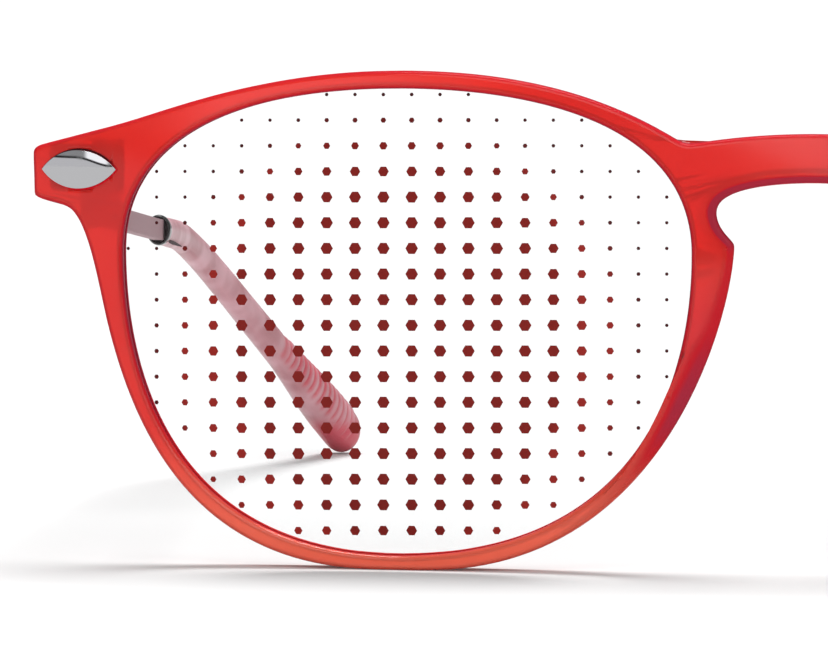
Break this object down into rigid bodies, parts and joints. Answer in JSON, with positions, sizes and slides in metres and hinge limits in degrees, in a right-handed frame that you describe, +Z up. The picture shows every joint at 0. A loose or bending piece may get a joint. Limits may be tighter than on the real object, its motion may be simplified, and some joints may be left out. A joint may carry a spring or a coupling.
{
  "type": "reading glasses",
  "caption": "Folding reading glasses: red translucent keyhole front, clear lenses, pointed oval end plaques, flat metal arms and soft ribbed ear sleeves.",
  "frame": {"origin": "on the surface that the open glasses stand on, below the middle of their overall width and depth", "axes": "+X towards the wearer's left, +Y from the front towards the ears, +Z up"},
  "size_m": [0.1342, 0.141, 0.0426],
  "materials": {
    "front_plastic": "polished, translucent cherry red",
    "lens": "clear, polished",
    "plaque_metal": "polished",
    "hinge_steel": "satin",
    "screw_steel": "polished",
    "arm_metal": "satin, mauve grey",
    "ferrule_metal": "polished black nickel",
    "sleeve": "frosted, translucent pink"
  },
  "bodies": {
    "front": {"front_frame": "front_plastic", "right_lens": "lens", "left_lens": "lens", "right_plaque": "plaque_metal", "left_plaque": "plaque_metal", "right_front_hinge": "hinge_steel", "left_front_hinge": "hinge_steel", "right_hinge_screw": "screw_steel", "left_hinge_screw": "screw_steel"},
    "right_temple": {"right_temple_hinge": "hinge_steel", "right_temple_arm": "arm_metal", "right_fore_rivet": "screw_steel", "right_rear_rivet": "screw_steel", "right_ferrule": "ferrule_metal", "right_sleeve": "sleeve"},
    "left_temple": {"left_temple_hinge": "hinge_steel", "left_temple_arm": "arm_metal", "left_fore_rivet": "screw_steel", "left_rear_rivet": "screw_steel", "left_ferrule": "ferrule_metal", "left_sleeve": "sleeve"}
  },
  "joints": [
    {"name": "right_temple_fold", "type": "hinge", "parent": "front", "child": "right_temple", "pos_m": [-0.06055, -0.05638, 0.03405], "axis": [0, 0, -1], "range_deg": [0, 85]},
    {"name": "left_temple_fold", "type": "hinge", "parent": "front", "child": "left_temple", "pos_m": [0.06055, -0.05638, 0.03405], "axis": [0, 0, 1], "range_deg": [0, 80]}
  ]
}
